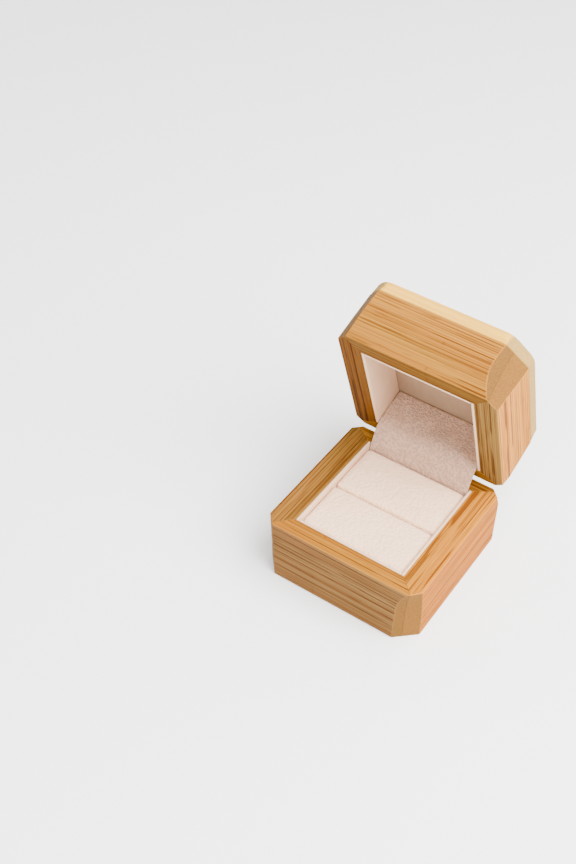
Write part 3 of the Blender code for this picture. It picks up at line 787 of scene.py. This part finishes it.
def rounded_cushion(name, low, high, slit_at_high_y, material, node):
    """A foam block in suedette: crowned top, soft edges, and its skin rolling into the slit."""
    bm = slab(low, high, CUSHION_GRID)
    centre = [(a + b) / 2 for a, b in zip(low, high)]
    half = [(b - a) / 2 for a, b in zip(low, high)]
    radii = CUSHION_ROUNDING
    for vert in bm.verts:
        off = [vert.co[i] - centre[i] for i in range(3)]
        core = [max(-(half[i] - radii[i]), min(half[i] - radii[i], off[i])) for i in range(3)]
        extra = Vector([(off[i] - core[i]) / radii[i] for i in range(3)])
        if extra.length > 1e-6:
            power = ROUND_EDGE_POWER if vert.co.z > centre[2] else SQUARE_EDGE_POWER
            total = sum(abs(e) ** power for e in extra) ** (1 / power)
            biggest = max(abs(e) for e in extra)
            extra = extra * (biggest / total)
        point = [centre[i] + core[i] + extra[i] * radii[i] for i in range(3)]
        u = off[0] / half[0]
        v = off[1] / half[1]
        lift = max(0.0, off[2] / half[2])
        crown = CUSHION_CROWN * (1 - abs(u) ** 3.0) * (1 - abs(v) ** 3.0) * lift
        wave = CUSHION_WAVE * math.sin(off[0] * 0.55 + 1.3) * math.sin(off[1] * 0.8 + 0.4) * lift
        near_slit = v if slit_at_high_y else -v
        dip = SLIT_DIP * max(0.0, near_slit) ** 6 * (1 - u ** 4) * lift
        point[2] += crown + wave - dip - TOP_SETTLING * lift
        vert.co = point
    obj = add_piece(name, bm, material, "base", [node], 80)
    smooth = obj.modifiers.new("soft skin", "SUBSURF")
    smooth.levels = 1
    smooth.render_levels = 1


def build_cushion():
    look = suede("cushion_cloth", (0.95, 0.64, 0.42), (0.90, 0.57, 0.36), nap=5200,
                 depth=0.00060, sheen=0.35, grain=1.8)
    side = INNER_X - LINING_GAP - LINING - CUSHION_GAP
    front = INNER_FRONT + LINING_GAP + LINING + CUSHION_FRONT_GAP
    slit_front = RING_SLIT_Y - RING_SLIT / 2
    slit_rear = RING_SLIT_Y + RING_SLIT / 2
    rounded_cushion("cushion_block_front", (-side, front, CUSHION_FOAM_LOW),
                    (side, slit_front, CUSHION_TOP), True, look, "ring_cushion_front")
    rounded_cushion("cushion_block_rear", (-side, slit_rear, CUSHION_FOAM_LOW),
                    (side, CUSHION_REAR_Y, CUSHION_TOP), False, look, "ring_cushion_rear")


# ---- flap over the hinge ------------------------------------------------------------------
# Where the flap's middle line runs, as (y, z): down the shut lid's pocket, and on into the base.
FLAP_IN_LID = ((21.75, CEILING_Z - 0.35), (21.5, 34.0), (21.2, 29.0), (20.95, LID_RIM_Z + 1.2))
FLAP_IN_BASE = ((24.35, 28.3), (22.75, 25.0), (21.7, 22.6), (21.35, 20.0), (21.3, 9.5))
FLAP_ROWS = 64
FLAP_COLUMNS = 40
FLAP_RIPPLE = 0.05
FLAP_ROUNDING = 0.12
CURVE_STEPS = 24


def smooth_path(points, count):
    """Points evenly spaced along a smooth curve through the given ones."""
    dense = []
    ends = [points[0] * 2 - points[1]] + points + [points[-1] * 2 - points[-2]]
    for i in range(1, len(ends) - 2):
        a, b, c, d = ends[i - 1:i + 3]
        for step in range(CURVE_STEPS):
            t = step / CURVE_STEPS
            dense.append(0.5 * (2 * b + (c - a) * t + (2 * a - 5 * b + 4 * c - d) * t * t
                                + (3 * b - a - 3 * c + d) * t ** 3))
    dense.append(points[-1])
    lengths = [0.0]
    for a, b in zip(dense, dense[1:]):
        lengths.append(lengths[-1] + (b - a).length)
    path = []
    for k in range(count + 1):
        want = lengths[-1] * k / count
        i = max(1, next((n for n, s in enumerate(lengths) if s >= want), len(dense) - 1))
        share = (want - lengths[i - 1]) / max(1e-9, lengths[i] - lengths[i - 1])
        path.append(dense[i - 1].lerp(dense[i], share))
    return path, lengths[-1]


def build_flap():
    """One piece of leatherette from the lid's ceiling, over the hinge, to behind the cushion."""
    look = leatherette("flap_leather", (0.60, 0.37, 0.25), (0.53, 0.32, 0.21))
    lid_part = [OPENED @ (Vector((0, y, z)) * MM) / MM for y, z in FLAP_IN_LID]
    base_part = [Vector((0, y, z)) for y, z in FLAP_IN_BASE]
    path, length = smooth_path(lid_part + base_part, FLAP_ROWS)
    half = INNER_X - LINING_GAP - LINING - FLAP_GAP
    bm = bmesh.new()
    rows = []
    for k, point in enumerate(path):
        row = []
        for c in range(FLAP_COLUMNS + 1):
            u = 2 * c / FLAP_COLUMNS - 1
            ripple = FLAP_RIPPLE * math.sin(9 * u + 0.16 * k) * math.sin(0.21 * k)
            row.append(bm.verts.new((half * u, point.y + ripple, point.z)))
        rows.append(row)
    for upper, lower in zip(rows, rows[1:]):
        for c in range(FLAP_COLUMNS):
            bm.faces.new((upper[c], upper[c + 1], lower[c + 1], lower[c]))
    flap = add_piece("flap_leatherette", bm, look, None,
                     ["flap_upper", "flap_lower"], 80)
    solid = flap.modifiers.new("thickness", "SOLIDIFY")
    solid.thickness = FLAP_THICKNESS * MM
    solid.offset = 0.0
    bevel(flap, FLAP_ROUNDING, 2, angle=60)
    apply_modifiers(flap)
    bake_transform(flap)


# ---- hinge and hidden pieces --------------------------------------------------------------
def finish_nodes():
    """The pieces that keep their CAD shape: only their materials are set."""
    steel = metal("hinge_plate_steel", (0.60, 0.58, 0.54), 0.34)
    dark = metal("spring_strip_steel", (0.36, 0.37, 0.39), 0.28)
    brass = metal("screw_head_brass", (0.72, 0.53, 0.24), 0.3, "Z")
    grey = board("grey_card", (0.46, 0.43, 0.39), (0.36, 0.33, 0.30))
    foam = board("lid_foam", (0.80, 0.78, 0.72), (0.66, 0.63, 0.56))
    looks = {"hinge_base_leaf": steel, "hinge_lid_leaf": steel, "hinge_pin": steel,
             "hinge_snap_spring": dark, "hinge_spring_rivet": dark,
             "cushion_board": grey, "lid_ceiling_foam": foam}
    for half in ("base", "lid"):
        for word in ("left", "right"):
            looks[f"{half}_hinge_screw_{word}"] = brass
    for node, look in looks.items():
        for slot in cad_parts[node].material_slots:
            slot.material = look


# ---- studio -------------------------------------------------------------------------------
LIGHT_AIM = Vector((0.0, 0.0, 0.03))
FLOOR_SIZE = 6.0
FLOOR_GAP = 0.0002


def area_light(name, place, size, power, colour=(1, 1, 1)):
    data = bpy.data.lights.new(name, "AREA")
    data.shape = "SQUARE"
    data.size = size
    data.energy = power
    data.color = colour
    light = bpy.data.objects.new(name, data)
    bpy.context.scene.collection.objects.link(light)
    light.location = place
    run = LIGHT_AIM - Vector(place)
    light.rotation_euler = run.to_track_quat("-Z", "Y").to_euler()


def build_studio():
    bpy.ops.mesh.primitive_plane_add(size=FLOOR_SIZE, location=(0, 0, -FLOOR_GAP))
    floor = bpy.context.object
    floor.name = "floor"
    floor.data.materials.append(studio_floor())
    world = bpy.data.worlds.new("studio")
    world.use_nodes = True
    background = world.node_tree.nodes["Background"]
    background.inputs["Color"].default_value = (1.0, 1.0, 1.0, 1.0)
    background.inputs["Strength"].default_value = 0.20
    bpy.context.scene.world = world
    area_light("key", (0.40, -0.04, 0.64), 0.7, 28.0)
    area_light("side", (0.85, 0.04, 0.20), 0.5, 8.0, colour=(1.0, 0.84, 0.60))
    area_light("front fill", (0.10, -0.62, 0.46), 0.6, 7.0)
    area_light("left fill", (-0.75, 0.05, 0.35), 0.6, 4.0)
    area_light("back", (0.05, 0.70, 0.70), 0.6, 8.0)


def build():
    add_camera()
    build_wood()
    card = suede("lining_cloth", (0.69, 0.46, 0.30), (0.63, 0.40, 0.25), nap=4200,
                 depth=0.00003, sheen=0.1)
    for half in ("base", "lid"):
        for word in ("left", "right", "front"):
            add_lining(half, word, card)
    # The ceiling cloth is the lining cloth painted much darker: painted shade inside the lid's
    # pocket.
    add_ceiling(suede("ceiling_cloth_painted_shade", (0.31, 0.205, 0.125), (0.27, 0.17, 0.10), nap=4200,
                      depth=0.00003, sheen=0.1))
    build_cushion()
    build_flap()
    finish_nodes()
    build_studio()


build()
